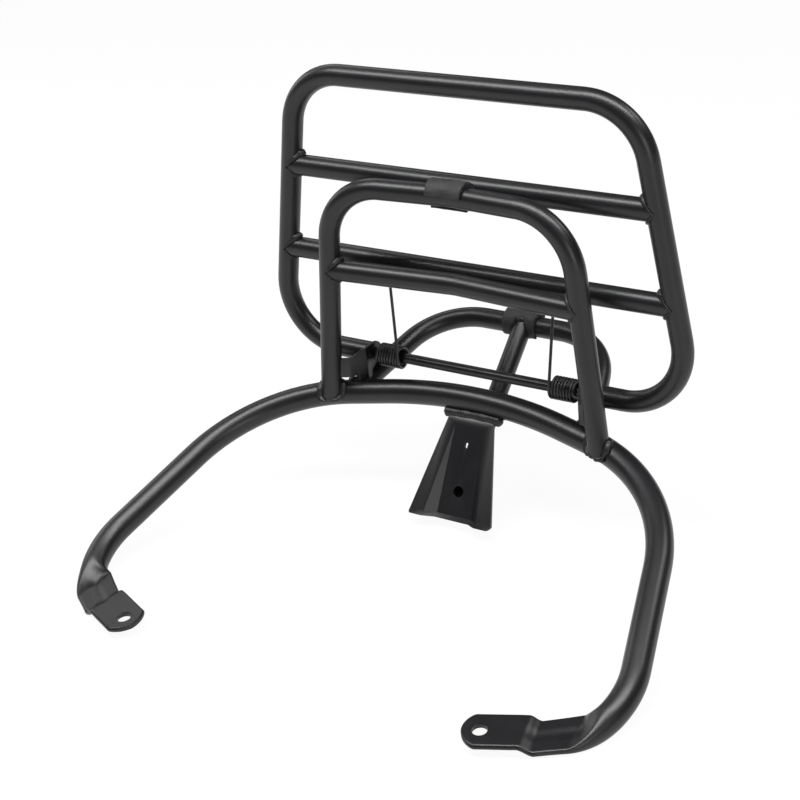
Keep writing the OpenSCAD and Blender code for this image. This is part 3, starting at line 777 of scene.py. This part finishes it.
def drill(obj, centre, radius, thick):
    """A round hole square through the tilted lug, with its edges broken."""
    edge, through = 0.5, 2.0
    start_piece()
    bpy.ops.mesh.primitive_cylinder_add(vertices=64, radius=radius * MM, depth=(thick - 2 * edge) * MM)
    bit = bpy.context.object
    edit(bit)
    for sign in (-1, 1):
        bpy.ops.mesh.select_all(action="DESELECT")
        pick(bit, lambda v: v.co.z * sign > 0)
        for rise, grow in ((edge, (radius + edge) / radius), (through, 1.0)):
            bpy.ops.mesh.extrude_region_move(TRANSFORM_OT_translate={"value": (0, 0, sign * rise * MM)})
            bpy.ops.transform.resize(value=(grow, grow, 1), center_override=(0, 0, 0))
    leave()
    bit.matrix_world = Matrix.Translation(centre * MM) @ Matrix.Rotation(LUG_TILT, 4, "X")
    apply(obj, "BOOLEAN", operation="DIFFERENCE", solver="EXACT", object=bit)
    bpy.data.objects.remove(bit, do_unlink=True)


def hoop_skin():
    round_end, right = squeezed_end()
    left = [(Vector((-c.x, c.y, c.z)), Vector((f.x, -f.y, -f.z)), *rest) for c, f, *rest in reversed(right)]
    middle = []
    for i, p in enumerate(HOOP):
        before, after = HOOP[max(i - 1, 0)], HOOP[min(i + 1, len(HOOP) - 1)]
        if i > 0 and (p - HOOP[i - 1]).length < 1e-6:
            continue
        if p.y > round_end.y + 0.05:
            middle.append((p, (after - before).normalized(), 2 * HOOP_R, 2 * HOOP_R, 0, 0))
    shell = bmesh.new()
    rings = [[shell.verts.new(q * MM) for q in ring_points(*s)] for s in left + middle + right]
    for a, b in zip(rings, rings[1:]):
        for i in range(len(a)):
            j = (i + 1) % len(a)
            shell.faces.new((a[i], a[j], b[j], b[i]))
    shell.faces.new(list(reversed(rings[0])))
    shell.faces.new(rings[-1])
    bmesh.ops.recalc_face_normals(shell, faces=shell.faces)
    mesh = bpy.data.meshes.new("hoop_skin")
    shell.to_mesh(mesh)
    shell.free()
    hoop = bpy.data.objects.new("hoop_skin", mesh)
    bpy.context.scene.collection.objects.link(hoop)
    for s in (-1, 1):
        drill(hoop, Vector((s * LUG_HOLE.x, LUG_HOLE.y, LUG_HOLE.z)), LUG_HOLE_R, LUG_THICK)
    settle(hoop, "hoop_skin", COAT, "frame", angle=28)
    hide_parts("hoop_tube")


# Pieces that follow a CAD solid, with worn edges


def merged_copy(node):
    copy = bpy.data.objects.new(node, nodes[node].data.copy())
    bpy.context.scene.collection.objects.link(copy)
    take_up(copy)
    if copy.data.has_custom_normals:
        bpy.ops.mesh.customdata_custom_splitnormals_clear()
    face_out(copy)
    return copy


def soft_edged(node, name, width):
    """The sheet part with its edges rounded."""
    piece = merged_copy(node)
    edit(piece)
    bpy.ops.mesh.select_all(action="SELECT")
    bpy.ops.mesh.dissolve_limited(angle_limit=math.radians(0.9))
    leave()
    apply(piece, "BEVEL", width=width * MM, segments=3, limit_method="ANGLE", angle_limit=math.radians(32))
    settle(piece, name, COAT, "frame", angle=40)
    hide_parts(node)


def rubber_piece(node, name, length, seed):
    """The sleeve, softened, dented and frayed at its right end."""
    piece = merged_copy(node)
    low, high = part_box(node)
    middle = (Vector(low) + Vector(high)) / 2
    edit(piece)
    bpy.ops.mesh.select_all(action="SELECT")
    bpy.ops.transform.resize(value=(length * MM / (high[0] - low[0]), 1, 1), center_override=middle)
    leave()
    apply(piece, "REMESH", mode="VOXEL", voxel_size=0.0006)
    apply(piece, "SMOOTH", factor=0.5, iterations=4)
    dents = bpy.data.textures.new(name + "_dents", "CLOUDS")
    dents.noise_scale = 0.009
    apply(piece, "DISPLACE", texture=dents, texture_coords="LOCAL", strength=0.0009, mid_level=0.5)
    end = max(v.co.x for v in piece.data.vertices)
    edit(piece)
    pick(piece, lambda v: v.co.x > end - 0.0012)
    bpy.ops.transform.vertex_random(offset=0.0005, uniform=0.6, normal=0.2, seed=seed)
    leave()
    settle(piece, name, RUBBER, "frame", angle=50)
    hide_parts(node)


# Springs


def spring_points(s, lean):
    """Middle line of the wire: fixed end, hook, coil, and the leg that rests on the rack's lower bar."""
    coil, outer, inner, turns, hook, fixed_x = 7.85, 84.0, 64.5, 8, 2.3, 93.2
    offset = coil + TUBE_R + WIRE_R
    tilt = math.asin(offset / LOWER_BAR_Z)
    leg = math.sqrt(LOWER_BAR_Z ** 2 - offset ** 2) + 2
    total = 2 * math.pi * turns

    def at(x, g):
        return from_hinge(s * x, -coil * math.cos(g), coil * math.sin(g))

    hook_turn = hook / coil
    hook_steps, turn_steps, leg_steps = 7, 30, 8
    points = [at(fixed_x, tilt - total - hook_turn)]
    for i in range(hook_steps):
        b = math.pi / 2 * i / hook_steps
        points.append(at(outer + hook * (1 - math.sin(b)), tilt - total - hook_turn * math.cos(b)))
    count = turn_steps * turns
    for i in range(count + 1):
        points.append(at(outer + (inner - outer) * i / count, tilt - total + total * i / count))
    lean = math.radians(lean)
    heading = Vector((s * math.sin(lean), math.cos(lean) * math.sin(tilt), math.cos(lean) * math.cos(tilt)))
    start = points[-1]
    points += [start + heading * (leg / math.cos(lean)) * i / leg_steps for i in range(1, leg_steps + 1)]
    return points


def wind_springs():
    for s, lean in ((-1, 9), (1, 0)):
        name = f"spring_coil_{side_name(s)}"
        spring = round_wire(name, spring_points(s, lean), WIRE_R)
        settle(spring, name, WIRE, None, angle=40)
        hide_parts(f"spring_{side_name(s)}")
        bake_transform(spring)


hoop_skin()
soft_edged("tail_bracket", "bracket_sheet", width=0.6)
soft_edged("hinge_plate_left", "plate_left", width=0.4)
soft_edged("hinge_plate_right", "plate_right", width=0.4)
rubber_piece("backrest_buffer", "backrest_sleeve", length=31, seed=3)
rubber_piece("loop_buffer", "loop_sleeve", length=28, seed=4)
wind_springs()
weld_rack()
weld_backrest()
weld_loop()
weld_strut()
weld_bracket()
weld_rail_ends()
